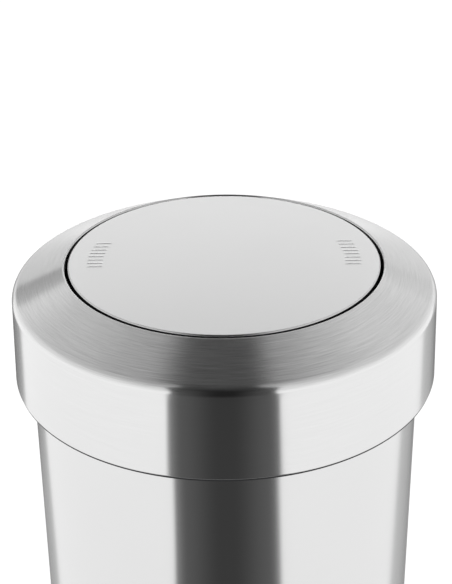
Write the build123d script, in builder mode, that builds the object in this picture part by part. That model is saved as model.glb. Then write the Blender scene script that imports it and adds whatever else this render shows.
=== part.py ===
from build123d import *
from math import cos, sin, tan, radians, sqrt
import os

# Round swing-lid kitchen bin. Millimetres, +Z up, origin on the floor under the
# middle of the can. The front is -Y. The flap swings about an axis that runs
# front to back, so it is pushed at its left or right side.

os.makedirs("parts", exist_ok=True)

# ---------------------------------------------------------------- dimensions
# lid collar
Z_TOP = 650.0            # top face of the flap disc
Z_LIP = 649.6            # crest of the collar's lip
R_LIP = 120.5            # opening in the collar
R_SKIRT = 163.0          # outside of the collar at its lower edge
R_CORNER = 161.1         # where the shoulder and the skirt lines meet
Z_CORNER = 631.7
Z_SKIRT = 561.3          # lower edge of the collar
T_COLLAR = 0.8
R_CORNER_FILLET = 8.0
R_LIP_FILLET = 1.2
Z_FLANGE = 641.6         # lower end of the lip's inner flange

# flap
R_DISC = 118.1
T_DISC = 0.8
Z_AXIS = 635.0           # swing axis height
R_PAN = 117.2
T_PAN = 2.4
SWING_DEG = 80.0
R_PIN = 3.0

# can body
R_BODY = 150.0
T_BODY = 0.7
Z_RIM = 588.0            # top of the rolled rim
R_BEAD = 2.3
Z_SHELL = 5.7            # lower edge of the shell

# base ring
R_BASE = 152.5
Z_FOOT = 2.0             # thickness of the rubber pads under the ring
Z_BASE_TOP = 16.0

# inner bucket
R_BUCKET = 137.3
R_BUCKET_LOW = 128.0
R_BUCKET_RIM = 139.3
T_BUCKET = 2.2
Z_BUCKET = 15.0
Z_BUCKET_TOP = 562.0
Z_BAIL = 548.0           # bail pivot height
R_BAIL = 144.5
D_BAIL = 4.0

# lid inner ring
R_THROAT = 121.5
Z_WEB = 590.3
T_WEB = 3.0



def upright(azimuth):
    """Upright plane through the can's axis: local x runs outwards, local y up."""
    a = radians(azimuth)
    return Plane(origin=(0, 0, 0), x_dir=(cos(a), sin(a), 0), z_dir=(sin(a), -cos(a), 0))


def outward(azimuth, r, z):
    """Plane facing outwards at radius r and height z: local x runs along the rim."""
    a = radians(azimuth)
    return Plane(origin=(r * cos(a), r * sin(a), z), x_dir=(-sin(a), cos(a), 0), z_dir=(cos(a), sin(a), 0))


# ------------------------------------------------------------ the can's body
with BuildPart() as body_shell:
    with BuildSketch(Plane.XZ):
        with BuildLine():
            Polyline(
                (R_BODY - T_BODY, Z_SHELL),
                (R_BODY, Z_SHELL),
                (R_BODY, Z_RIM - R_BEAD),
                (R_BODY - T_BODY, Z_RIM - R_BEAD),
                close=True,
            )
        make_face()
        with Locations((R_BODY - T_BODY + R_BEAD, Z_RIM - R_BEAD)):
            Circle(R_BEAD)
    revolve(axis=Axis.Z)
    # lap seam down the back of the shell
    with BuildSketch(upright(88.2)):
        with Locations((R_BODY + 0.1, (Z_BASE_TOP + 1.5 + Z_RIM - 5.5) / 2)):
            Rectangle(0.9, Z_RIM - 5.5 - Z_BASE_TOP - 1.5)
    revolve(axis=Axis.Z, revolution_arc=3.6)
body_shell.part.label = "body_shell"
export_step(body_shell.part, "parts/body_shell.step")

with BuildPart() as bottom_plate:
    with BuildSketch(Plane.XZ):
        with BuildLine():
            Polyline(
                (0, 11.0),
                (109.0, 11.0),
                (114.0, 14.0),
                (R_BODY - 2 * T_BODY - 0.1, 14.0),
                (R_BODY - 2 * T_BODY - 0.1, 5.5),
                (R_BODY - T_BODY - 0.1, 5.5),
                (R_BODY - T_BODY - 0.1, 14.7),
                (113.7, 14.7),
                (108.7, 11.7),
                (0, 11.7),
                close=True,
            )
        make_face()
    revolve(axis=Axis.Z)
bottom_plate.part.label = "bottom_plate"
export_step(bottom_plate.part, "parts/bottom_plate.step")

with BuildPart() as base_ring:
    with BuildSketch(Plane.XZ):
        with BuildLine():
            Polyline(
                (136.0, Z_FOOT),
                (R_BASE, Z_FOOT),
                (R_BASE, Z_BASE_TOP),
                (R_BODY + 0.2, Z_BASE_TOP),
                (R_BODY + 0.2, 5.4),
                (136.0, 5.4),
                close=True,
            )
        make_face()
        fillet(vertices().filter_by(lambda v: abs(v.X - R_BASE) < 0.01 and v.Y < 3), 2.0)
        fillet(vertices().filter_by(lambda v: abs(v.X - R_BASE) < 0.01 and v.Y > 15), 1.2)
    revolve(axis=Axis.Z)
base_ring.part.label = "base_ring"
export_step(base_ring.part, "parts/base_ring.step")

with BuildPart() as floor_pads:
    with BuildSketch(Plane.XY):
        with PolarLocations(144.0, 6, start_angle=30):
            Circle(6.0)
    extrude(amount=Z_FOOT)
    fillet(floor_pads.edges().group_by(Axis.Z)[0], 0.5)
floor_pads.part.label = "floor_pads"
export_step(floor_pads.part, "parts/floor_pads.step")

# ------------------------------------------------------------ the lid collar
def lip_corner():
    """Height of the sharp lip corner whose fillet has its crest at Z_LIP."""
    z = Z_LIP
    for _ in range(40):
        a = (z - Z_CORNER) / (R_CORNER - R_LIP)
        z = Z_LIP + R_LIP_FILLET * (a + sqrt(1 + a * a) - 1)
    return z


Z_LIP_SHARP = lip_corner()
SHOULDER = (Z_LIP_SHARP - Z_CORNER) / (R_CORNER - R_LIP)   # fall per mm outwards
LEAN = (R_SKIRT - R_CORNER) / (Z_CORNER - Z_SKIRT)         # skirt's growth per mm down


def shoulder_under(r):
    """Height of the shoulder's underside at radius r."""
    return Z_LIP_SHARP - (r - R_LIP) * SHOULDER - T_COLLAR * sqrt(1 + SHOULDER**2)


def skirt_inside(z):
    """Inner radius of the skirt at height z."""
    return R_CORNER + (Z_CORNER - z) * LEAN - T_COLLAR * sqrt(1 + LEAN**2)


# where the inner faces of the shoulder and the skirt meet
_r = R_CORNER - T_COLLAR
for _ in range(40):
    _r = skirt_inside(shoulder_under(_r))
R_CORNER_IN, Z_CORNER_IN = _r, shoulder_under(_r)

with BuildPart() as collar_shell:
    with BuildSketch(Plane.XZ):
        with BuildLine():
            Polyline(
                (R_LIP, Z_FLANGE),
                (R_LIP, Z_LIP_SHARP),
                (R_CORNER, Z_CORNER),
                (R_SKIRT, Z_SKIRT),
                (161.3, Z_SKIRT),
                (161.3, Z_SKIRT + 1.0),
                (skirt_inside(Z_SKIRT + 1.0), Z_SKIRT + 1.0),
                (R_CORNER_IN, Z_CORNER_IN),
                (R_LIP + T_COLLAR, shoulder_under(R_LIP + T_COLLAR)),
                (R_LIP + T_COLLAR, Z_FLANGE),
                close=True,
            )
        make_face()
        fillet(vertices().filter_by(lambda v: abs(v.X - R_CORNER) < 0.05 and abs(v.Y - Z_CORNER) < 0.05), R_CORNER_FILLET)
        fillet(vertices().filter_by(lambda v: abs(v.X - R_CORNER_IN) < 0.05 and abs(v.Y - Z_CORNER_IN) < 0.05), R_CORNER_FILLET - T_COLLAR)
        fillet(vertices().filter_by(lambda v: abs(v.X - R_LIP) < 0.05 and v.Y > Z_LIP), R_LIP_FILLET)
        fillet(vertices().filter_by(lambda v: abs(v.X - R_LIP - T_COLLAR) < 0.05 and v.Y > Z_FLANGE + 2), R_LIP_FILLET - T_COLLAR)
        fillet(vertices().filter_by(lambda v: abs(v.X - R_SKIRT) < 0.05 and abs(v.Y - Z_SKIRT) < 0.05), 1.2)
    revolve(axis=Axis.Z)
collar_shell.part.label = "collar_shell"
export_step(collar_shell.part, "parts/collar_shell.step")

# --------------------------------------------------- moulded ring in the lid
with BuildPart() as lid_inner_ring:
    with BuildSketch(Plane.XZ):
        with BuildLine():
            Polyline(
                (R_THROAT, Z_WEB),
                (R_THROAT, 646.9),
                (124.0, 646.9),
                (124.0, Z_WEB + T_WEB),
                (161.0, Z_WEB + T_WEB),
                (161.0, Z_SKIRT - 0.05),
                (162.3, Z_SKIRT - 0.05),
                (162.3, Z_SKIRT - 1.05),
                (159.0, Z_SKIRT - 1.05),
                (159.0, Z_WEB),
                (147.8, Z_WEB),
                (147.8, 572.0),
                (145.6, 572.0),
                (145.6, Z_WEB),
                close=True,
            )
        make_face()
    revolve(axis=Axis.Z)
    # stiffening gussets between the throat and the outer wall
    with BuildSketch(Plane.XY.offset(Z_WEB + 1.0)):
        with PolarLocations(0, 12, start_angle=15):
            with Locations((141.5, 0)):
                Rectangle(37.0, 2.0)
    extrude(amount=17.0)
    # flat pads that carry the bearing blocks, front and rear
    with BuildSketch(Plane.XY.offset(624.0)):
        with Locations((0, 124.2), (0, -124.2)):
            Rectangle(34.0, 5.6)
    extrude(amount=17.3)
    # the throat itself stays a clear cylinder
    with BuildSketch(Plane.XY.offset(600.0)):
        Circle(R_THROAT)
    extrude(amount=60.0, mode=Mode.SUBTRACT)
    # holes for the pivot pins and pilot holes for the bearing screws
    with BuildSketch(Plane.XZ.offset(-118.0)):
        with Locations((0, Z_AXIS)):
            Circle(4.5)
    extrude(amount=-12.0, mode=Mode.SUBTRACT)
    with BuildSketch(Plane.XZ.offset(118.0)):
        with Locations((0, Z_AXIS)):
            Circle(4.5)
    extrude(amount=12.0, mode=Mode.SUBTRACT)
    with BuildSketch(Plane.XZ.offset(-123.0)):
        with Locations((11.0, 631.0), (-11.0, 631.0)):
            Circle(1.8)
    extrude(amount=-5.0, mode=Mode.SUBTRACT)
    with BuildSketch(Plane.XZ.offset(123.0)):
        with Locations((11.0, 631.0), (-11.0, 631.0)):
            Circle(1.8)
    extrude(amount=5.0, mode=Mode.SUBTRACT)
    # stop ledges, two at each end of the axis
    with BuildSketch(Plane.XY.offset(Z_AXIS + 3.0)):
        with Locations((11.0, 120.55), (-11.0, 120.55), (11.0, -120.55), (-11.0, -120.55)):
            Rectangle(7.0, 3.6)
    extrude(amount=3.3)
lid_inner_ring.part.label = "lid_inner_ring"
export_step(lid_inner_ring.part, "parts/lid_inner_ring.step")

with BuildPart() as seat_gasket:
    with BuildSketch(Plane.XZ):
        with Locations((151.9, 589.3)):
            Rectangle(5.6, 2.0)
    revolve(axis=Axis.Z)
seat_gasket.part.label = "seat_gasket"
export_step(seat_gasket.part, "parts/seat_gasket.step")

with BuildPart() as stop_pads:
    with BuildSketch(Plane.XY.offset(Z_AXIS + 1.5)):
        with Locations((11.0, 119.65), (-11.0, 119.65), (11.0, -119.65), (-11.0, -119.65)):
            Rectangle(6.0, 1.5)
    extrude(amount=1.5)
stop_pads.part.label = "stop_pads"
export_step(stop_pads.part, "parts/stop_pads.step")

with BuildPart() as bearing_block_rear:
    with BuildSketch(Plane.XY.offset(626.0)):
        with Locations((0, 131.0)):
            Rectangle(32.0, 8.0)
    extrude(amount=15.0)
    fillet(bearing_block_rear.edges().filter_by(Axis.Y), 2.0)
    with BuildSketch(Plane.XZ.offset(-126.0)):
        with Locations((0, Z_AXIS)):
            Circle(R_PIN + 0.05)
        with Locations((11.0, 631.0), (-11.0, 631.0)):
            Circle(1.8)
    extrude(amount=-10.0, mode=Mode.SUBTRACT)
bearing_block_rear.part.label = "bearing_block_rear"
export_step(bearing_block_rear.part, "parts/bearing_block_rear.step")

with BuildPart() as bearing_block_front:
    with BuildSketch(Plane.XY.offset(626.0)):
        with Locations((0, -131.0)):
            Rectangle(32.0, 8.0)
    extrude(amount=15.0)
    fillet(bearing_block_front.edges().filter_by(Axis.Y), 2.0)
    with BuildSketch(Plane.XZ.offset(126.0)):
        with Locations((0, Z_AXIS)):
            Circle(R_PIN + 0.05)
        with Locations((11.0, 631.0), (-11.0, 631.0)):
            Circle(1.8)
    extrude(amount=10.0, mode=Mode.SUBTRACT)
bearing_block_front.part.label = "bearing_block_front"
export_step(bearing_block_front.part, "parts/bearing_block_front.step")

# pan-head screws that hold the bearing blocks: two at each end
with BuildPart() as bearing_screws:
    for azimuth, side in ((90, 1), (-90, -1)):
        for x in (11.0, -11.0):
            with BuildSketch(Plane(origin=(x, side * 123.4, 631.0), x_dir=(1, 0, 0), z_dir=(0, side, 0))):
                Circle(1.7)
            extrude(amount=11.7)
            with BuildSketch(Plane(origin=(x, side * 135.0, 631.0), x_dir=(1, 0, 0), z_dir=(0, side, 0))):
                Circle(3.2)
            extrude(amount=2.2)
            with BuildSketch(Plane(origin=(x, side * 137.2, 631.0), x_dir=(1, 0, 0), z_dir=(0, side, 0))):
                Rectangle(3.6, 0.9)
                Rectangle(0.9, 3.6)
            extrude(amount=-1.2, mode=Mode.SUBTRACT)
bearing_screws.part.label = "bearing_screws"
export_step(bearing_screws.part, "parts/bearing_screws.step")

# ------------------------------------------------------------------ the flap
Z_UNDER = Z_TOP - T_DISC         # underside of the steel disc
MARK_ARC = 97.6                  # the raised grip marks follow this circle
MARK_ROWS = [9.5 + 5.7 * (k - 3.5) for k in range(8)]
with BuildPart() as flap_disc:
    # sheet with its edge turned down round the pan
    with BuildSketch(Plane.XZ):
        with BuildLine():
            Polyline(
                (0, Z_UNDER),
                (R_DISC - T_DISC, Z_UNDER),
                (R_DISC - T_DISC, Z_TOP - 1.9),
                (R_DISC, Z_TOP - 1.9),
                (R_DISC, Z_TOP),
                (0, Z_TOP),
                close=True,
            )
        make_face()
        fillet(vertices().filter_by(lambda v: v.X > R_DISC - 0.1 and v.Y > Z_TOP - 0.1), 1.1)
        fillet(vertices().filter_by(lambda v: v.X > R_DISC - 0.1 and v.Y < Z_TOP - 1.8), 0.3)
    revolve(axis=Axis.Z)
    # raised bars at both push sides
    with BuildSketch(Plane.XY.offset(Z_TOP - 0.2)):
        for y in MARK_ROWS:
            x = (MARK_ARC**2 - y**2) ** 0.5
            with Locations((x, y), (-x, y)):
                SlotOverall(12.0, 1.3)
    extrude(amount=0.4)
    # welded studs that hold the pan below
    with BuildSketch(Plane.XY.offset(Z_UNDER)):
        with PolarLocations(70.0, 6, start_angle=0):
            Circle(2.0)
    extrude(amount=-8.0)
flap_disc.part.label = "flap_disc"
export_step(flap_disc.part, "parts/flap_disc.step")

Z_PAN = Z_UNDER - T_PAN          # underside of the pan's plate
with BuildPart() as flap_carrier:
    with BuildSketch(Plane.XZ):
        with BuildLine():
            Polyline(
                (0, Z_PAN),
                (R_PAN - T_PAN, Z_PAN),
                (R_PAN - T_PAN, 641.0),
                (R_PAN, 641.0),
                (R_PAN, Z_UNDER),
                (0, Z_UNDER),
                close=True,
            )
        make_face()
    revolve(axis=Axis.Z)
    # ribs from the middle to the rim
    with BuildSketch(Plane.XY.offset(641.8)):
        with PolarLocations(0, 8, start_angle=22.5):
            with Locations((62.0, 0)):
                Rectangle(106.5, 2.0)
        Circle(13.0)
        Circle(11.0, mode=Mode.SUBTRACT)
    extrude(amount=Z_PAN - 641.8 + 0.5)
    # pivot bosses, front and rear
    with BuildSketch(Plane.XY.offset(623.0)):
        with Locations((0, 108.5), (0, -108.5)):
            Rectangle(18.0, 17.0)
    extrude(amount=Z_PAN + 0.5 - 623.0)
    fillet(flap_carrier.edges().filter_by(Axis.Y).group_by(Axis.Z)[0], 5.0)
    # posts for the counterweight
    with BuildSketch(Plane.XY.offset(621.0)):
        with Locations((0, 60.0), (0, -60.0)):
            Circle(8.0)
    extrude(amount=Z_PAN + 0.5 - 621.0)
    # stop fingers on the outer faces of the bosses
    with BuildSketch(Plane.XY.offset(Z_AXIS - 15.0)):
        with Locations((0, 116.4), (0, -116.4)):
            Rectangle(5.0, 6.8)
    extrude(amount=9.4)
    # holes for the studs, the pins and the counterweight screws
    with BuildSketch(Plane.XY.offset(Z_PAN - 0.5)):
        with PolarLocations(70.0, 6, start_angle=0):
            Circle(2.2)
    extrude(amount=T_PAN + 1.0, mode=Mode.SUBTRACT)
    with BuildSketch(Plane.XZ.offset(-102.9)):
        with Locations((0, Z_AXIS)):
            Circle(R_PIN + 0.02)
    extrude(amount=-18.0, mode=Mode.SUBTRACT)
    with BuildSketch(Plane.XZ.offset(102.9)):
        with Locations((0, Z_AXIS)):
            Circle(R_PIN + 0.02)
    extrude(amount=18.0, mode=Mode.SUBTRACT)
    with BuildSketch(Plane.XY.offset(620.9)):
        with Locations((0, 60.0), (0, -60.0)):
            Circle(2.55)
    extrude(amount=15.0, mode=Mode.SUBTRACT)
flap_carrier.part.label = "flap_carrier"
export_step(flap_carrier.part, "parts/flap_carrier.step")

with BuildPart() as stud_nuts:
    with BuildSketch(Plane.XY.offset(Z_PAN)):
        with PolarLocations(70.0, 6, start_angle=0):
            RegularPolygon(4.04, 6)
            Circle(2.05, mode=Mode.SUBTRACT)
    extrude(amount=-3.2)
stud_nuts.part.label = "stud_nuts"
export_step(stud_nuts.part, "parts/stud_nuts.step")

with BuildPart() as pivot_pin_rear:
    with BuildSketch(Plane.XZ.offset(-103.0)):
        with Locations((0, Z_AXIS)):
            Circle(R_PIN)
    extrude(amount=-31.0)
    chamfer(pivot_pin_rear.edges().filter_by(GeomType.CIRCLE), 0.5)
pivot_pin_rear.part.label = "pivot_pin_rear"
export_step(pivot_pin_rear.part, "parts/pivot_pin_rear.step")

with BuildPart() as pivot_pin_front:
    with BuildSketch(Plane.XZ.offset(103.0)):
        with Locations((0, Z_AXIS)):
            Circle(R_PIN)
    extrude(amount=31.0)
    chamfer(pivot_pin_front.edges().filter_by(GeomType.CIRCLE), 0.5)
pivot_pin_front.part.label = "pivot_pin_front"
export_step(pivot_pin_front.part, "parts/pivot_pin_front.step")

with BuildPart() as pivot_spacers:
    for side in (1, -1):
        with BuildSketch(Plane(origin=(0, side * 117.0, Z_AXIS), x_dir=(1, 0, 0), z_dir=(0, side, 0))):
            Circle(5.0)
            Circle(R_PIN + 0.05, mode=Mode.SUBTRACT)
        extrude(amount=3.9)
pivot_spacers.part.label = "pivot_spacers"
export_step(pivot_spacers.part, "parts/pivot_spacers.step")

with BuildPart() as counterweight:
    with BuildSketch(Plane.XY.offset(609.0)):
        RectangleRounded(26.0, 176.0, 4.0)
    extrude(amount=12.0)
    with BuildSketch(Plane.XY.offset(608.0)):
        with Locations((0, 60.0), (0, -60.0)):
            Circle(2.75)
    extrude(amount=14.0, mode=Mode.SUBTRACT)
    chamfer(counterweight.faces().sort_by(Axis.Z)[0].outer_wire().edges(), 1.0)
counterweight.part.label = "counterweight"
export_step(counterweight.part, "parts/counterweight.step")

with BuildPart() as counterweight_screws:
    with BuildSketch(Plane.XY.offset(609.0)):
        with Locations((0, 60.0), (0, -60.0)):
            Circle(2.5)
    extrude(amount=25.0)
    with BuildSketch(Plane.XY.offset(609.0)):
        with Locations((0, 60.0), (0, -60.0)):
            RegularPolygon(4.6, 6)
    extrude(amount=-3.3)
counterweight_screws.part.label = "counterweight_screws"
export_step(counterweight_screws.part, "parts/counterweight_screws.step")

# ---------------------------------------------------------- the inner bucket
with BuildPart() as inner_bucket:
    with BuildSketch(Plane.XZ):
        with BuildLine():
            Polyline(
                (0, 17.2),
                (117.0, 17.2),
                (118.5, Z_BUCKET),
                (124.5, Z_BUCKET),
                (R_BUCKET_LOW, 19.0),
                (R_BUCKET, 530.0),
                (R_BUCKET, 558.4),
                (R_BUCKET_RIM, 558.4),
                (R_BUCKET_RIM, Z_BUCKET_TOP),
                (R_BUCKET - T_BUCKET, Z_BUCKET_TOP),
                (R_BUCKET - T_BUCKET, 530.0),
                (R_BUCKET_LOW - T_BUCKET, 19.4),
                (0, 19.4),
                close=True,
            )
        make_face()
        fillet(vertices().filter_by(lambda v: v.X > 130 and v.Y > 561.0), 0.9)
    revolve(axis=Axis.Z)
    # rests that hold the lowered bail level, behind
    for azimuth in (62.0, 118.0):
        with BuildSketch(Plane(origin=(0, 0, Z_BAIL - 11.0), x_dir=(cos(radians(azimuth)), sin(radians(azimuth)), 0), z_dir=(0, 0, 1))):
            with Locations((141.6, 0)):
                Rectangle(9.6, 3.0)
        extrude(amount=8.7)
    # rivet holes for the bail ears
    for azimuth in (4.5, -4.5, 175.5, 184.5):
        with BuildSketch(outward(azimuth, 130.0, Z_BAIL)):
            Circle(2.05)
        extrude(amount=10.0, mode=Mode.SUBTRACT)
inner_bucket.part.label = "inner_bucket"
export_step(inner_bucket.part, "parts/inner_bucket.step")

with BuildPart() as bail_ear_right:
    with BuildSketch(upright(-7.0)):
        with Locations((R_BUCKET + 0.85, Z_BAIL)):
            Rectangle(1.5, 16.0)
    revolve(axis=Axis.Z, revolution_arc=14.0)
    with BuildSketch(outward(0, R_BUCKET + 1.0, Z_BAIL)):
        Circle(4.6)
    extrude(amount=2.9)
    with BuildSketch(outward(0, R_BUCKET + 1.9, Z_BAIL)):
        Circle(D_BAIL / 2 + 0.08)
    extrude(amount=4.0, mode=Mode.SUBTRACT)
    for azimuth in (4.5, -4.5):
        with BuildSketch(outward(azimuth, 130.0, Z_BAIL)):
            Circle(2.05)
        extrude(amount=12.0, mode=Mode.SUBTRACT)
bail_ear_right.part.label = "bail_ear_right"
export_step(bail_ear_right.part, "parts/bail_ear_right.step")

with BuildPart() as bail_ear_left:
    with BuildSketch(upright(173.0)):
        with Locations((R_BUCKET + 0.85, Z_BAIL)):
            Rectangle(1.5, 16.0)
    revolve(axis=Axis.Z, revolution_arc=14.0)
    with BuildSketch(outward(180, R_BUCKET + 1.0, Z_BAIL)):
        Circle(4.6)
    extrude(amount=2.9)
    with BuildSketch(outward(180, R_BUCKET + 1.9, Z_BAIL)):
        Circle(D_BAIL / 2 + 0.08)
    extrude(amount=4.0, mode=Mode.SUBTRACT)
    for azimuth in (175.5, 184.5):
        with BuildSketch(outward(azimuth, 130.0, Z_BAIL)):
            Circle(2.05)
        extrude(amount=12.0, mode=Mode.SUBTRACT)
bail_ear_left.part.label = "bail_ear_left"
export_step(bail_ear_left.part, "parts/bail_ear_left.step")

with BuildPart() as ear_rivets:
    for azimuth in (4.5, -4.5, 175.5, 184.5):
        with BuildSketch(outward(azimuth, 134.2, Z_BAIL)):
            Circle(2.0)
        extrude(amount=5.6)
        with BuildSketch(outward(azimuth, R_BUCKET + 1.75, Z_BAIL)):
            Circle(3.3)
        extrude(amount=1.1)
        with BuildSketch(outward(azimuth, R_BUCKET - T_BUCKET - 0.15, Z_BAIL)):
            Circle(3.3)
        extrude(amount=-1.0)
ear_rivets.part.label = "ear_rivets"
export_step(ear_rivets.part, "parts/ear_rivets.step")

with BuildPart() as bucket_bail:
    with BuildSketch(Plane.XZ):
        with Locations((R_BAIL, Z_BAIL)):
            Circle(D_BAIL / 2)
    revolve(axis=Axis.Z, revolution_arc=180.0)
    with BuildSketch(outward(0, R_BUCKET + 2.2, Z_BAIL)):
        Circle(D_BAIL / 2)
    extrude(amount=R_BAIL - R_BUCKET - 2.2)
    with BuildSketch(outward(180, R_BUCKET + 2.2, Z_BAIL)):
        Circle(D_BAIL / 2)
    extrude(amount=R_BAIL - R_BUCKET - 2.2)
    with Locations((R_BAIL, 0, Z_BAIL), (-R_BAIL, 0, Z_BAIL)):
        Sphere(D_BAIL / 2)
bucket_bail.part.label = "bucket_bail"
export_step(bucket_bail.part, "parts/bucket_bail.step")

with BuildPart() as bail_grip:
    with BuildSketch(upright(70.0)):
        with Locations((R_BAIL, Z_BAIL)):
            Circle(4.0)
            Circle(D_BAIL / 2 + 0.1, mode=Mode.SUBTRACT)
    revolve(axis=Axis.Z, revolution_arc=40.0)
bail_grip.part.label = "bail_grip"
export_step(bail_grip.part, "parts/bail_grip.step")

print("lip corner", Z_LIP_SHARP, "shoulder fall", SHOULDER, "inner corner", R_CORNER_IN, Z_CORNER_IN)
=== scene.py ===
import math

import bmesh
import bpy
from mathutils import Matrix, Vector


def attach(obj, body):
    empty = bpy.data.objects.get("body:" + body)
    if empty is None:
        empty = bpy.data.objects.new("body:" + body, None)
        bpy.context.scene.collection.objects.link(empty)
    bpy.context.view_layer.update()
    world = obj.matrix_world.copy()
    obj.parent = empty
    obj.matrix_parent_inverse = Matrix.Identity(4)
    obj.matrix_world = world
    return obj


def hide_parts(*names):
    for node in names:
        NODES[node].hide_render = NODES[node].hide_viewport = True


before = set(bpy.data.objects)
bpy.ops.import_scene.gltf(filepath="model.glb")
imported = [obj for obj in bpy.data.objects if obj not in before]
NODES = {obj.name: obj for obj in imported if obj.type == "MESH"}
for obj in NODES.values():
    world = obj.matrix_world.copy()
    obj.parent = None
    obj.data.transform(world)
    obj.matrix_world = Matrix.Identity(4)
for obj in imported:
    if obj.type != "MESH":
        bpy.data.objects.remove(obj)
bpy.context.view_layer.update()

MM = 0.001
TAU = 2 * math.pi

scene = bpy.context.scene
scene.view_settings.view_transform = "Standard"
scene.view_settings.look = "None"
scene.view_settings.exposure = 0.0
scene.view_settings.gamma = 1.0

# ------------------------------------------------------------- dimensions, mm
Z_TOP = 650.0
Z_LIP = 649.6
R_LIP = 120.5
R_SKIRT = 163.0
R_CORNER, Z_CORNER = 161.1, 631.7
Z_SKIRT = 561.3
Z_FLANGE = 641.6
T_COLLAR = 0.8
R_DISC = 118.1
R_BODY = 150.0
T_BODY = 0.7
Z_RIM = 588.0
R_BEAD = 2.3
Z_SHELL = 5.7

# --------------------------------------------------------------------- camera
CAM_D, CAM_Z = 0.96107, 1.1253
PITCH, YAW, ROLL = math.radians(27.656), math.radians(0.0734), math.radians(-0.6353)
FOCAL_PX = 1415.48
cam_data = bpy.data.cameras.new("camera")
cam = bpy.data.objects.new("camera", cam_data)
scene.collection.objects.link(cam)
scene.camera = cam
cam_data.sensor_width = 36.0
cam_data.lens = FOCAL_PX / 584.0 * 36.0
cam_data.clip_start, cam_data.clip_end = 0.05, 100.0
look = Vector((math.sin(YAW) * math.cos(PITCH), math.cos(YAW) * math.cos(PITCH), -math.sin(PITCH)))
up = Vector((math.sin(YAW) * math.sin(PITCH), math.cos(YAW) * math.sin(PITCH), math.cos(PITCH)))
right = Vector((math.cos(YAW), -math.sin(YAW), 0.0))
r2 = right * math.cos(ROLL) + up * math.sin(ROLL)
u2 = up * math.cos(ROLL) - right * math.sin(ROLL)
cam.matrix_world = Matrix((
    (r2.x, u2.x, -look.x, 0.0),
    (r2.y, u2.y, -look.y, -CAM_D),
    (r2.z, u2.z, -look.z, CAM_Z),
    (0.0, 0.0, 0.0, 1.0),
))


# ---------------------------------------------------------------- node helper
class Tree:
    """A small shorthand for building a node tree."""

    def __init__(self, tree):
        self.t = tree
        self.n = tree.nodes
        self.l = tree.links

    def node(self, kind, **props):
        node = self.n.new(kind)
        for k, v in props.items():
            setattr(node, k, v)
        return node

    def put(self, socket, value):
        if isinstance(value, bpy.types.NodeSocket):
            self.l.new(value, socket)
        elif isinstance(value, bpy.types.Node):
            self.l.new(value.outputs[0], socket)
        else:
            socket.default_value = value

    def math(self, op, a, b=None, c=None, clamp=False):
        node = self.node("ShaderNodeMath", operation=op, use_clamp=clamp)
        for i, v in enumerate((a, b, c)):
            if v is not None:
                self.put(node.inputs[i], v)
        return node.outputs[0]

    def ramp(self, value, a, b, lo=0.0, hi=1.0, smooth=True):
        node = self.node("ShaderNodeMapRange", interpolation_type="SMOOTHSTEP" if smooth else "LINEAR", clamp=True)
        self.put(node.inputs["Value"], value)
        node.inputs["From Min"].default_value = a
        node.inputs["From Max"].default_value = b
        node.inputs["To Min"].default_value = lo
        node.inputs["To Max"].default_value = hi
        return node.outputs[0]

    def noise(self, vector, scale=1.0, detail=2.0, rough=0.5, dims="3D"):
        node = self.node("ShaderNodeTexNoise", noise_dimensions=dims)
        self.put(node.inputs["Vector"], vector)
        node.inputs["Scale"].default_value = scale
        node.inputs["Detail"].default_value = detail
        node.inputs["Roughness"].default_value = rough
        return node.outputs["Fac"]

    def vec(self, x, y, z):
        node = self.node("ShaderNodeCombineXYZ")
        for i, v in enumerate((x, y, z)):
            self.put(node.inputs[i], v)
        return node.outputs[0]

    def grey(self, value):
        node = self.node("ShaderNodeCombineColor")
        for i in range(3):
            self.put(node.inputs[i], value)
        return node.outputs[0]


# ---------------------------------------------------------------------- world
# A soft studio round the can: pale panels to the left, right and behind, an
# unlit gap where the camera stands, and narrow gaps between the panels.
world = bpy.data.worlds.new("studio")
scene.world = world
world.use_nodes = True
w = Tree(world.node_tree)
w.n.clear()
coord = w.node("ShaderNodeTexCoord")
split = w.node("ShaderNodeSeparateXYZ")
w.l.new(coord.outputs["Generated"], split.inputs[0])
wx, wy, wz = split.outputs
# azimuth in degrees: 0 towards the camera side (-Y), positive to the right
az = w.math("MULTIPLY", w.math("ARCTAN2", wx, w.math("MULTIPLY", wy, -1.0)), 180.0 / math.pi)
neg_az = w.math("MULTIPLY", az, -1.0)
neg_wx = w.math("MULTIPLY", wx, -1.0)
side = w.math("ABSOLUTE", az)
el = w.math("MULTIPLY", w.math("ARCSINE", wz), 180.0 / math.pi)


def blend(a, b, k):
    return w.math("ADD", w.math("MULTIPLY", a, w.math("SUBTRACT", 1.0, k)), w.math("MULTIPLY", b, k))


# the unlit strip: in front, and over the top between the two side panels
over = w.ramp(wz, 0.53, 1.05)
edge_l, edge_r = blend(0.448, 0.221, over), blend(0.412, 0.150, over)
edge_l = w.math("ADD", edge_l, w.ramp(el, -37.0, -31.0, -0.040, 0.0))
edge_r = w.math("ADD", edge_r, w.ramp(el, -37.0, -31.0, 0.010, 0.0))
SOFT = 0.016
lit = w.math("MAXIMUM", w.ramp(w.math("SUBTRACT", neg_wx, edge_l), -SOFT, SOFT), w.ramp(w.math("SUBTRACT", wx, edge_r), -SOFT, SOFT))
behind = w.math("MULTIPLY", w.ramp(wy, 0.0, 0.25), w.ramp(wz, 0.90, 0.97, 1.0, 0.0))
lit = w.math("MAXIMUM", lit, behind)
strip = w.math("MULTIPLY", w.ramp(el, -28.0, -18.0, 1.0, 0.0), 0.038)
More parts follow.
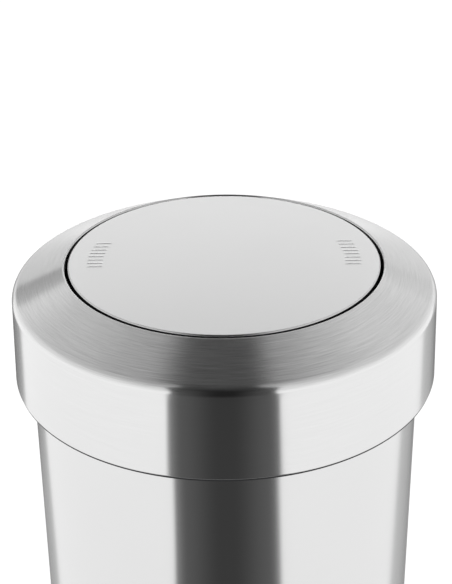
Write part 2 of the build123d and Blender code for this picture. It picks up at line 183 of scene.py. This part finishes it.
# light that creeps in from the panels' borders, low down
creep_l = w.ramp(w.math("SUBTRACT", neg_wx, edge_l), -0.100, 0.0, 0.0, 1.0, smooth=False)
creep_r = w.ramp(w.math("SUBTRACT", wx, edge_r), -0.090, 0.0, 0.0, 0.8, smooth=False)
creep = w.math("ADD", w.math("POWER", creep_l, 2.0), w.math("POWER", creep_r, 2.0))
strip = w.math("ADD", strip, w.math("MULTIPLY", w.math("MULTIPLY", creep, 0.24), w.ramp(el, -24.0, -8.0, 1.0, 0.3)))
strip = w.math("ADD", strip, w.math("MULTIPLY", w.math("MULTIPLY", w.ramp(el, 36.0, 74.0), w.ramp(wy, 0.02, 0.2, 1.0, 0.0)), 0.055))
strip = w.math("ADD", strip, w.ramp(el, -78.0, -58.0, 0.20, 0.0))
near_l, near_r = w.ramp(w.math("DIVIDE", neg_wx, edge_l), 0.1, 1.0), w.ramp(w.math("DIVIDE", wx, edge_r), 0.1, 1.0)
spill = w.math("MULTIPLY", w.math("ADD", near_l, near_r), w.ramp(el, 20.0, 60.0, 0.077, 0.0))
strip = w.math("ADD", w.math("ADD", strip, spill), 0.017)
# side panels fade upwards; the back panel is brightest low down
panel = w.math("ADD", w.ramp(el, -19.0, 40.0, 1.20, 0.755), w.ramp(el, 40.0, 88.0, 0.0, -0.56))
wall = w.math("MULTIPLY", w.ramp(el, -4.0, 12.0, 0.0, 1.33), w.ramp(el, 13.0, 38.0, 1.0, 0.0))
wall = w.math("ADD", wall, w.ramp(el, 13.0, 38.0, 1.05, 0.36))
to_left = w.ramp(wx, -0.02, 0.02, 1.0, 0.0)
corner = w.math("MULTIPLY", w.math("MULTIPLY", w.ramp(side, 147.0, 153.0), w.ramp(side, 163.0, 170.0, 1.0, 0.0)), w.math("MULTIPLY", w.ramp(el, -6.0, 2.0), w.ramp(el, 22.0, 30.0, 1.0, 0.0)))
corner = w.math("MULTIPLY", corner, w.math("ADD", w.math("MULTIPLY", to_left, 0.08), 0.18))
flank = w.math("MULTIPLY", w.math("MULTIPLY", w.ramp(el, 26.0, 40.0), w.ramp(el, 58.0, 72.0, 1.0, 0.0)), w.math("MULTIPLY", to_left, 0.16))
panel = w.math("MULTIPLY", panel, w.math("SUBTRACT", w.math("SUBTRACT", 1.0, corner), flank))
level = blend(panel, wall, w.ramp(side, 166.0, 172.0))
level = w.math("MULTIPLY", level, w.ramp(el, -43.0, -13.0, 0.88, 1.0))
low_back = w.math("MULTIPLY", w.ramp(side, 159.0, 171.0), w.math("MULTIPLY", w.ramp(el, -12.0, 3.0, 1.0, 0.0), w.ramp(el, -40.0, -26.0)))
level = w.math("MULTIPLY", level, w.math("ADD", w.math("MULTIPLY", low_back, 1.3), 1.0))
# dimmer gaps between the side panels and the back panel, low down


def gap(turn, low, high, start, lift, drop, power):
    """Gap whose inner edge leans with height; it is darkest at its far side."""
    inner = w.ramp(el, -40.0, -20.0, low, high, smooth=False)
    depth = w.math("SUBTRACT", turn, inner)
    fall = w.math("POWER", w.ramp(depth, 0.0, 26.0, smooth=False), power)
    fall = w.math("MULTIPLY", fall, w.ramp(el, -36.0, -29.0, 0.62 * drop, drop))
    tone = w.math("SUBTRACT", w.ramp(el, -36.0, -29.0, start + lift, start), fall)
    return tone, w.math("MULTIPLY", w.ramp(depth, -0.9, 0.9), w.ramp(el, -16.0, 2.0, 1.0, 0.0))


tone_l, gap_l = gap(neg_az, 135.2, 144.0, 0.44, 0.10, 0.29, 1.0)
tone_r, gap_r = gap(az, 125.0, 136.5, 0.58, 0.0, 0.34, 2.0)
level = blend(level, tone_l, gap_l)
level = blend(level, tone_r, gap_r)
# a dim patch higher up beside the back panel, stronger on the left
along = w.math("SUBTRACT", side, 150.0)
high = w.math("SUBTRACT", el, 17.0)
pu = w.math("SUBTRACT", w.math("MULTIPLY", high, 0.63), w.math("MULTIPLY", along, 0.78))
pq = w.math("ADD", w.math("MULTIPLY", high, 0.78), w.math("MULTIPLY", along, 0.63))
patch = w.math("MULTIPLY", w.math("MULTIPLY", w.ramp(pu, -5.0, -3.2), w.ramp(pu, 4.5, 8.0, 1.0, 0.0)), w.math("MULTIPLY", w.ramp(pq, -12.0, -7.0), w.ramp(pq, 7.0, 12.0, 1.0, 0.0)))
patch = w.math("MULTIPLY", patch, w.ramp(wx, -0.02, 0.02, 1.0, 0.20))
level = blend(level, w.ramp(pu, -3.0, 6.0, 0.34, 0.50, smooth=False), patch)
level = blend(strip, level, lit)
bg_light = w.node("ShaderNodeBackground")
w.l.new(w.grey(level), bg_light.inputs["Color"])
bg_light.inputs["Strength"].default_value = 1.0
bg_plain = w.node("ShaderNodeBackground")
bg_plain.inputs["Color"].default_value = (1.0, 1.0, 1.0, 1.0)
bg_plain.inputs["Strength"].default_value = 1.05
path = w.node("ShaderNodeLightPath")
pick = w.node("ShaderNodeMixShader")
w.l.new(path.outputs["Is Camera Ray"], pick.inputs[0])
w.l.new(bg_light.outputs[0], pick.inputs[1])
w.l.new(bg_plain.outputs[0], pick.inputs[2])
out = w.node("ShaderNodeOutputWorld")
w.l.new(pick.outputs[0], out.inputs["Surface"])

# ---------------------------------------------------------------------- floor
floor_mesh = bpy.data.meshes.new("floor")
S = 14.0
floor_mesh.from_pydata([(-S, -S, 0), (S, -S, 0), (S, S, 0), (-S, S, 0)], [], [(0, 1, 2, 3)])
floor = bpy.data.objects.new("floor", floor_mesh)
scene.collection.objects.link(floor)
fm = bpy.data.materials.new("floor_paper")
fm.use_nodes = True
f = Tree(fm.node_tree)
f.n.clear()
diffuse = f.node("ShaderNodeBsdfDiffuse")
diffuse.inputs["Color"].default_value = (0.9, 0.9, 0.9, 1.0)
glow = f.node("ShaderNodeEmission")
glow.inputs["Color"].default_value = (1, 1, 1, 1)
glow.inputs["Strength"].default_value = 0.62
both = f.node("ShaderNodeAddShader")
f.l.new(diffuse.outputs[0], both.inputs[0])
f.l.new(glow.outputs[0], both.inputs[1])
fo = f.node("ShaderNodeOutputMaterial")
f.l.new(both.outputs[0], fo.inputs["Surface"])
floor_mesh.materials.append(fm)
floor.visible_glossy = False


# ------------------------------------------------------------------ materials
def principled(name):
    mat = bpy.data.materials.new(name)
    mat.use_nodes = True
    t = Tree(mat.node_tree)
    t.n.clear()
    bsdf = t.node("ShaderNodeBsdfPrincipled")
    end = t.node("ShaderNodeOutputMaterial")
    t.l.new(bsdf.outputs[0], end.inputs["Surface"])
    return mat, t, bsdf


def bump(t, bsdf, height, strength, distance):
    node = t.node("ShaderNodeBump")
    node.inputs["Strength"].default_value = strength
    node.inputs["Distance"].default_value = distance
    t.l.new(height, node.inputs["Height"])
    t.l.new(node.outputs[0], bsdf.inputs["Normal"])


def brushed(name, grain, base=0.73, rough=0.19, vary=0.03, aniso=1.0, line=1.0, streak=0.25, low=None, welds=False):
    """Satin steel. grain 'ring' runs round the Z axis, grain 'x' runs along X."""
    mat, t, bsdf = principled(name)
    tc = t.node("ShaderNodeTexCoord")
    s = t.node("ShaderNodeSeparateXYZ")
    t.l.new(tc.outputs["Object"], s.inputs[0])
    x, y, z = s.outputs
    if grain == "ring":
        r = t.math("SQRT", t.math("ADD", t.math("MULTIPLY", x, x), t.math("MULTIPLY", y, y)))
        r = t.math("MAXIMUM", r, 1e-4)
        cx, cy = t.math("DIVIDE", x, r), t.math("DIVIDE", y, r)
        across = t.math("SUBTRACT", z, r)
        fine = t.vec(t.math("MULTIPLY", cx, 3.2), t.math("MULTIPLY", cy, 3.2), t.math("MULTIPLY", across, 2600.0))
        mid = t.vec(t.math("MULTIPLY", cx, 5.0), t.math("MULTIPLY", cy, 5.0), t.math("MULTIPLY", across, 700.0))
        coarse = t.vec(t.math("MULTIPLY", cx, 6.0), t.math("MULTIPLY", cy, 6.0), t.math("MULTIPLY", across, 1150.0))
        tangent = (0.0, 0.0, 1.0)
    else:
        fine = t.vec(t.math("MULTIPLY", x, 26.0), t.math("MULTIPLY", y, 2600.0), t.math("MULTIPLY", z, 40.0))
        mid = t.vec(t.math("MULTIPLY", x, 40.0), t.math("MULTIPLY", y, 700.0), t.math("MULTIPLY", z, 40.0))
        coarse = t.vec(t.math("MULTIPLY", x, 20.0), t.math("MULTIPLY", y, 820.0), t.math("MULTIPLY", z, 40.0))
        tangent = (0.0, 1.0, 0.0)
    n1 = t.noise(fine, 1.0, 3.0, 0.62)
    n2 = t.noise(mid, 1.0, 2.0, 0.5)
    cloud = t.noise(tc.outputs["Object"], 9.0, 2.0, 0.5)
    lines = t.math("ADD", t.math("MULTIPLY", n1, 0.62), t.math("MULTIPLY", n2, 0.38))
    if grain == "ring":
        # the grain is calmer below the shoulder
        lines = t.math("ADD", t.math("MULTIPLY", t.math("SUBTRACT", lines, 0.5), t.ramp(z, 0.622, 0.634, 0.45, 1.0)), 0.5)
    shade = t.math("ADD", t.math("MULTIPLY", t.math("SUBTRACT", lines, 0.5), 0.16 * line), base)
    shade = t.math("ADD", shade, t.math("MULTIPLY", t.math("SUBTRACT", cloud, 0.5), 0.02))
    # longer, coarser streaks; on the ring they are strongest on the shoulder, and about twice as strong at the front
    # and back as at the sides. The streaks are real grain; their extra strength at the front and back is painted
    # reflection contrast, standing in for how the lighting shows the grain there.
    n3 = t.noise(coarse, 1.0, 2.0, 0.6)
    amount = t.math("MULTIPLY", t.math("SUBTRACT", n3, 0.5), streak)
    if grain == "ring":
        amount = t.math("MULTIPLY", amount, t.ramp(z, 0.626, 0.634, 0.08, 1.0))
        # painted reflection contrast: grain strength raised at the front and back, lowered at the sides
        amount = t.math("MULTIPLY", amount, t.ramp(t.math("ABSOLUTE", cx), 0.35, 0.9, 1.7, 0.8))
    shade = t.math("ADD", shade, amount)
    t.l.new(t.grey(shade), bsdf.inputs["Base Color"])
    bsdf.inputs["Metallic"].default_value = 1.0
    # the drawn skirt is a shade smoother than the turned shoulder
    level = t.ramp(z, 0.620, 0.633, low, rough) if low else rough
    if low:
        # the rolled lip is left duller than the turned shoulder
        level = t.math("ADD", level, t.math("MULTIPLY", t.ramp(r, 0.1217, 0.1224, 0.28, 0.0), t.ramp(r, 0.1208, 0.1211)))
    t.l.new(t.math("ADD", t.math("MULTIPLY", t.math("SUBTRACT", lines, 0.5), 2 * vary), level), bsdf.inputs["Roughness"])
    bsdf.inputs["Anisotropic"].default_value = aniso
    tv = t.node("ShaderNodeCombineXYZ")
    for i in range(3):
        tv.inputs[i].default_value = tangent[i]
    t.l.new(tv.outputs[0], bsdf.inputs["Tangent"])
    height, depth = lines, 0.00002
    if welds:
        # spot welds down the lap seam at the back, 40 mm apart
        step = t.math("SUBTRACT", t.math("PINGPONG", z, 0.02), 0.01)
        away = t.math("SQRT", t.math("ADD", t.math("MULTIPLY", x, x), t.math("MULTIPLY", step, step)))
        ring = t.math("MULTIPLY", t.ramp(away, 0.0016, 0.0026, -9.0, 0.0), t.ramp(y, 0.0, 0.01))
        height = t.math("ADD", lines, ring)
    bump(t, bsdf, height, 0.12 * line, depth)
    return mat


def moulded(name, base, rough=0.5, grain=9000.0, depth=0.00003, strength=0.35, vary=0.06, spec=0.5, mottle=0.15):
    """Moulded plastic or rubber with a fine spark-eroded grain."""
    mat, t, bsdf = principled(name)
    tc = t.node("ShaderNodeTexCoord")
    n1 = t.noise(tc.outputs["Object"], grain, 3.0, 0.6)
    n2 = t.noise(tc.outputs["Object"], 55.0, 3.0, 0.55)
    k = t.math("ADD", t.math("MULTIPLY", t.math("SUBTRACT", n2, 0.5), mottle), 1.0)
    col = t.node("ShaderNodeCombineColor")
    for i in range(3):
        t.l.new(t.math("MULTIPLY", k, base[i]), col.inputs[i])
    t.l.new(col.outputs[0], bsdf.inputs["Base Color"])
    t.l.new(t.math("ADD", t.math("MULTIPLY", t.math("SUBTRACT", n2, 0.5), 2 * vary), rough), bsdf.inputs["Roughness"])
    bsdf.inputs["Specular IOR Level"].default_value = spec
    bump(t, bsdf, n1, strength, depth)
    return mat


def plated(name, base, rough=0.25, vary=0.08, depth=0.00002, scale=900.0):
    """Zinc plate, mill-finish sheet or drawn wire: a cloudy bright metal."""
    mat, t, bsdf = principled(name)
    tc = t.node("ShaderNodeTexCoord")
    n1 = t.noise(tc.outputs["Object"], scale, 4.0, 0.6)
    n2 = t.noise(tc.outputs["Object"], 70.0, 3.0, 0.6)
    k = t.math("ADD", t.math("MULTIPLY", t.math("SUBTRACT", n2, 0.5), 0.22), 1.0)
    col = t.node("ShaderNodeCombineColor")
    for i in range(3):
        t.l.new(t.math("MULTIPLY", k, base[i]), col.inputs[i])
    t.l.new(col.outputs[0], bsdf.inputs["Base Color"])
    bsdf.inputs["Metallic"].default_value = 1.0
    t.l.new(t.math("ADD", t.math("MULTIPLY", t.math("SUBTRACT", n1, 0.5), 2 * vary), rough), bsdf.inputs["Roughness"])
    bump(t, bsdf, n1, 0.25, depth)
    return mat


STEEL_RING = brushed("satin_steel_ring", "ring", low=0.12)
STEEL_BODY = brushed("satin_steel_body", "ring", rough=0.12, line=0.45, streak=0.05, welds=True)
STEEL_FLAP = brushed("satin_steel_flap", "x", rough=0.22, line=0.8, streak=0.045)
MILL = plated("mill_steel", (0.60, 0.61, 0.62), 0.32)
ZINC = plated("zinc_plate", (0.70, 0.71, 0.73), 0.22)
WIRE = plated("galvanised_wire", (0.62, 0.63, 0.64), 0.30, scale=1500.0)
OXIDE = moulded("black_oxide", (0.045, 0.045, 0.05), 0.38, grain=2500.0, vary=0.08)
BLACK = moulded("black_plastic", (0.020, 0.020, 0.022), 0.50)
BUCKET = moulded("bucket_plastic", (0.050, 0.052, 0.056), 0.42, grain=5000.0)
ACETAL = moulded("natural_acetal", (0.80, 0.79, 0.76), 0.45, grain=4000.0, mottle=0.05)
RUBBER = moulded("matt_rubber", (0.028, 0.028, 0.028), 0.78, grain=3500.0, spec=0.3)
GRIP = moulded("grip_plastic", (0.030, 0.030, 0.032), 0.36, grain=6000.0)

LOOKS = {
    "body_shell": STEEL_BODY, "bottom_plate": MILL, "base_ring": BLACK, "floor_pads": RUBBER,
    "collar_shell": STEEL_RING, "lid_inner_ring": BLACK, "seat_gasket": RUBBER, "stop_pads": RUBBER,
    "bearing_block_rear": ACETAL, "bearing_block_front": ACETAL, "bearing_screws": ZINC,
    "flap_disc": STEEL_FLAP, "flap_carrier": BLACK, "stud_nuts": ZINC, "pivot_pin_rear": ZINC,
    "pivot_pin_front": ZINC, "pivot_spacers": ACETAL, "counterweight": OXIDE, "counterweight_screws": ZINC,
    "inner_bucket": BUCKET, "bail_ear_right": MILL, "bail_ear_left": MILL, "ear_rivets": ZINC,
    "bucket_bail": WIRE, "bail_grip": GRIP,
}
for name, mat in LOOKS.items():
    ob = NODES[name]
    ob.data.materials.clear()
    ob.data.materials.append(mat)


# --------------------------------------------------------------- mesh helpers
def arc_corner(p, q, s, radius, steps):
    """Points of the fillet at q between the lines p-q and q-s."""
    p, q, s = Vector(p), Vector(q), Vector(s)
    a, b = (p - q).normalized(), (s - q).normalized()
    half = math.acos(max(-1.0, min(1.0, a.dot(b)))) / 2
    reach = radius / math.tan(half)
    centre = q + (a + b).normalized() * (radius / math.sin(half))
    start, stop = q + a * reach, q + b * reach
    u, v = start - centre, stop - centre
    turn = math.atan2(u.x * v.y - u.y * v.x, u.dot(v))
    points = []
    for i in range(steps + 1):
        k = turn * i / steps
        points.append((centre.x + u.x * math.cos(k) - u.y * math.sin(k), centre.y + u.x * math.sin(k) + u.y * math.cos(k)))
    return points


def rounded(corners):
    """Closed outline from (r, z, fillet radius, steps); long sides get support points."""
    n = len(corners)
    out = []
    for i, (r, z, rad, steps) in enumerate(corners):
        p, s = corners[i - 1], corners[(i + 1) % n]
        out.append(arc_corner(p[:2], (r, z), s[:2], rad, steps) if rad else [(r, z)])
    line = []
    for i, part in enumerate(out):
        line.extend(part)
        a, b = Vector(part[-1]), Vector(out[(i + 1) % n][0])
        d = (b - a).length
        if d > 3.0:
            cuts = [0.35, 1.2] + [d * k / 6 for k in range(1, 6)] + [d - 1.2, d - 0.35]
            for c in sorted(set(cuts)):
                if 0.2 < c < d - 0.2:
                    line.append(tuple(a + (b - a) * (c / d)))
    return line


def lathe(name, outline, segs, mat, extra=None):
    """Turns a closed (r, z) outline in mm about the Z axis."""
    bm = bmesh.new()
    rings = []
    for k in range(segs):
        a = TAU * k / segs
        rings.append([bm.verts.new((r * math.sin(a) * MM, -r * math.cos(a) * MM, z * MM)) for r, z in outline])
    n = len(outline)
    for k in range(segs):
        a, b = rings[k], rings[(k + 1) % segs]
        for i in range(n):
            j = (i + 1) % n
            bm.faces.new((a[i], b[i], b[j], a[j]))
    if extra:
        extra(bm)
    bmesh.ops.recalc_face_normals(bm, faces=bm.faces)
    return finish_mesh(name, bm, mat)


def finish_mesh(name, bm, mat, sharp=28.0):
    me = bpy.data.meshes.new(name)
    bm.normal_update()
    for face in bm.faces:
        face.smooth = True
    for edge in bm.edges:
        edge.smooth = len(edge.link_faces) == 2 and edge.calc_face_angle(0.0) < math.radians(sharp)
    bm.to_mesh(me)
    bm.free()
    me.materials.append(mat)
    ob = bpy.data.objects.new(name, me)
    scene.collection.objects.link(ob)
    return ob


# --------------------------------------------------------------- collar shell
def lip_corner():
    z = Z_LIP
    for _ in range(40):
        a = (z - Z_CORNER) / (R_CORNER - R_LIP)
        z = Z_LIP + 1.2 * (a + math.sqrt(1 + a * a) - 1)
    return z


Z_SHARP = lip_corner()
FALL = (Z_SHARP - Z_CORNER) / (R_CORNER - R_LIP)
LEAN = (R_SKIRT - R_CORNER) / (Z_CORNER - Z_SKIRT)


def shoulder_under(r):
    return Z_SHARP - (r - R_LIP) * FALL - T_COLLAR * math.sqrt(1 + FALL**2)


def skirt_inside(z):
    return R_CORNER + (Z_CORNER - z) * LEAN - T_COLLAR * math.sqrt(1 + LEAN**2)


_r = R_CORNER - T_COLLAR
for _ in range(40):
    _r = skirt_inside(shoulder_under(_r))
IN_R, IN_Z = _r, shoulder_under(_r)
collar_line = rounded([
    (R_LIP, Z_FLANGE, 0, 0),
    (R_LIP, Z_SHARP, 1.2, 10),
    (R_CORNER, Z_CORNER, 8.0, 18),
    (R_SKIRT, Z_SKIRT, 1.2, 8),
    (161.3, Z_SKIRT, 0, 0),
    (161.3, Z_SKIRT + 1.0, 0.25, 2),
    (skirt_inside(Z_SKIRT + 1.0), Z_SKIRT + 1.0, 0, 0),
    (IN_R, IN_Z, 7.2, 10),
    (R_LIP + T_COLLAR, shoulder_under(R_LIP + T_COLLAR), 0.4, 4),
    (R_LIP + T_COLLAR, Z_FLANGE, 0, 0),
])
collar = lathe("collar_steel", collar_line, 480, STEEL_RING)
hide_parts("collar_shell")
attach(collar, "lid")

# ----------------------------------------------------------------- body shell
def shell_outline():
    c, rb, zb = R_BODY - T_BODY + R_BEAD, R_BEAD, Z_RIM - R_BEAD
    pts = [(R_BODY - T_BODY, Z_SHELL), (R_BODY, Z_SHELL)]
    d = zb - math.sqrt(rb**2 - (R_BODY - c) ** 2) - Z_SHELL
    for cut in [0.4, 2.0] + [d * k / 16 for k in range(1, 16)] + [d - 2.0, d - 0.4]:
        pts.append((R_BODY, Z_SHELL + cut))
    start = math.atan2(-math.sqrt(rb**2 - (R_BODY - c) ** 2), R_BODY - c)
    for k in range(0, 29):
        a = start + (math.pi - start) * k / 28
        pts.append((c + rb * math.cos(a), zb + rb * math.sin(a)))
    d2 = zb - Z_SHELL
    for cut in [0.4, 2.0, d2 / 4, d2 / 2, d2 * 3 / 4, d2 - 2.0, d2 - 0.4]:
        pts.append((R_BODY - T_BODY, zb - cut))
    return pts


def lap_seam(bm):
    """The outer lap of the sheet, a slim strip with rolled-off edges."""
    inner, outer, half, soft = 149.65, 150.55, 1.8, 0.26
    bend = math.degrees(soft / outer)
    across = [(-half + bend * (1 - math.cos(math.pi / 2 * k / 6)), outer - soft + soft * math.sin(math.pi / 2 * k / 6)) for k in range(7)]
    flat = [(-half + bend + (2 * half - 2 * bend) * k / 8, outer) for k in range(1, 8)]
    line = [(-half, inner)] + across + flat + [(-d, r) for d, r in reversed(across)] + [(half, inner)]
    lo, hi = 17.5, 582.5
    rows = [(lo, soft)] + [(lo + soft * (1 - math.cos(math.pi / 2 * k / 4)), soft * (1 - math.sin(math.pi / 2 * k / 4))) for k in range(1, 5)]
    rows += [(lo + 2.0, 0.0)] + [(lo + (hi - lo) * k / 16, 0.0) for k in range(1, 16)] + [(hi - 2.0, 0.0)]
    rows += [(hi - soft * (1 - math.cos(math.pi / 2 * k / 4)), soft * (1 - math.sin(math.pi / 2 * k / 4))) for k in range(4, 0, -1)] + [(hi, soft)]
    grid = []
    for z, drop in rows:
        row = []
        for deg, r in line:
            a = math.radians(90.0 - deg)
            rr = r if r == inner else max(inner + 0.02, r - drop)
            row.append(bm.verts.new((rr * math.cos(a) * MM, rr * math.sin(a) * MM, z * MM)))
        grid.append(row)
    for a, b in zip(grid, grid[1:]):
        for i in range(len(line)):
            j = (i + 1) % len(line)
            bm.faces.new((a[i], a[j], b[j], b[i]))
    bm.faces.new(grid[0])
    bm.faces.new(list(reversed(grid[-1])))


body = lathe("can_steel", shell_outline(), 480, STEEL_BODY, lap_seam)
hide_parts("body_shell")
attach(body, "can")

# ------------------------------------------------------------------ flap disc
MARK_ARC, MARK_L, MARK_W, MARK_H = 97.6, 12.0, 1.3, 0.2
MARK_ROWS = [9.5 + 5.7 * (k - 3.5) for k in range(8)]
MARKS = [(math.sqrt(MARK_ARC**2 - y**2), y) for y in MARK_ROWS]


def mark_height(x, y):
    """Raised bars: a soft-edged relief, mm above the disc."""
    best = 0.0
    for xc, yc in MARKS:
        dx = max(abs(abs(x) - xc) - (MARK_L - MARK_W) / 2, 0.0)
        d = math.hypot(dx, y - yc)
        h = 1.0 - min(max((d - 0.22) / 0.62, 0.0), 1.0)
        h = h * h * (3 - 2 * h)
        best = max(best, h)
    return best * MARK_H


def flap_mesh():
    bm = bmesh.new()
    segs = 360
    z0, z1 = Z_TOP, Z_TOP - 0.8
    prof = [(R_DISC - 1.5, z0)]
    for k in range(0, 13):
        a = math.pi / 2 * k / 12
        prof.append((R_DISC - 1.1 + 1.1 * math.sin(a), z0 - 1.1 + 1.1 * math.cos(a)))
    for k in range(0, 5):
        a = math.pi / 2 * k / 4
        prof.append((R_DISC - 0.3 + 0.3 * math.cos(a), z0 - 1.9 + 0.3 - 0.3 * math.sin(a)))
    prof += [(R_DISC - 0.8, z0 - 1.9), (R_DISC - 0.8, z1 - 0.15), (R_DISC - 0.95, z1)]
    rings = []
    for r, z in prof:
        rings.append([bm.verts.new((r * math.sin(TAU * k / segs) * MM, -r * math.cos(TAU * k / segs) * MM, z * MM)) for k in range(segs)])
    for a, b in zip(rings, rings[1:]):
        for k in range(segs):
            j = (k + 1) % segs
            bm.faces.new((a[k], a[j], b[j], b[k]))
    # underside
    centre = bm.verts.new((0, 0, z1 * MM))
    last = rings[-1]
    for k in range(segs):
        bm.faces.new((last[(k + 1) % segs], last[k], centre))
    # marks: two fine windows in the flat top
    loops = [[rings[0][k] for k in range(segs)]]
    xs, ys = [m[0] for m in MARKS], MARK_ROWS
    x0, x1 = min(xs) - MARK_L / 2 - 1.2, max(xs) + MARK_L / 2 + 1.2
    y0, y1 = min(ys) - 2.0, max(ys) + 2.0
    nx, ny = 56, 176
    for sgn in (1, -1):
        grid = {}
        for i in range(nx + 1):
            for j in range(ny + 1):
                x = x0 + (x1 - x0) * i / nx if sgn > 0 else -x1 + (x1 - x0) * i / nx
                y = y0 + (y1 - y0) * j / ny
                grid[i, j] = bm.verts.new((x * MM, y * MM, (z0 + mark_height(x, y)) * MM))
        for i in range(nx):
            for j in range(ny):
                bm.faces.new((grid[i, j], grid[i + 1, j], grid[i + 1, j + 1], grid[i, j + 1]))
        rim = [grid[i, 0] for i in range(nx)] + [grid[nx, j] for j in range(ny)]
        rim += [grid[i, ny] for i in range(nx, 0, -1)] + [grid[0, j] for j in range(ny, 0, -1)]
        loops.append(rim)
    edges = []
    for loop in loops:
        for a, b in zip(loop, loop[1:] + loop[:1]):
            e = bm.edges.get((a, b)) or bm.edges.new((a, b))
            edges.append(e)
    bmesh.ops.triangle_fill(bm, use_beauty=True, use_dissolve=False, edges=edges, normal=(0, 0, 1))
    # welded studs under the sheet, with a small collar of weld at the root
    for n in range(6):
        a = TAU * n / 6
        sx, sy = 70.0 * math.cos(a), 70.0 * math.sin(a)
        rows = []
        for r, z in ((2.7, 649.2), (2.35, 648.95), (2.05, 648.6), (2.0, 648.2), (2.0, 645.0), (2.0, 641.8), (1.6, 641.2)):
            rows.append([bm.verts.new(((sx + r * math.cos(TAU * k / 32)) * MM, (sy + r * math.sin(TAU * k / 32)) * MM, z * MM)) for k in range(32)])
        for lo, hi in zip(rows, rows[1:]):
            for k in range(32):
                j = (k + 1) % 32
                bm.faces.new((lo[k], lo[j], hi[j], hi[k]))
        bm.faces.new(list(reversed(rows[0])))
        bm.faces.new(rows[-1])
    bmesh.ops.recalc_face_normals(bm, faces=bm.faces)
    return bm


flap = finish_mesh("flap_steel", flap_mesh(), STEEL_FLAP)
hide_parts("flap_disc")
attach(flap, "flap")

bpy.context.view_layer.update()
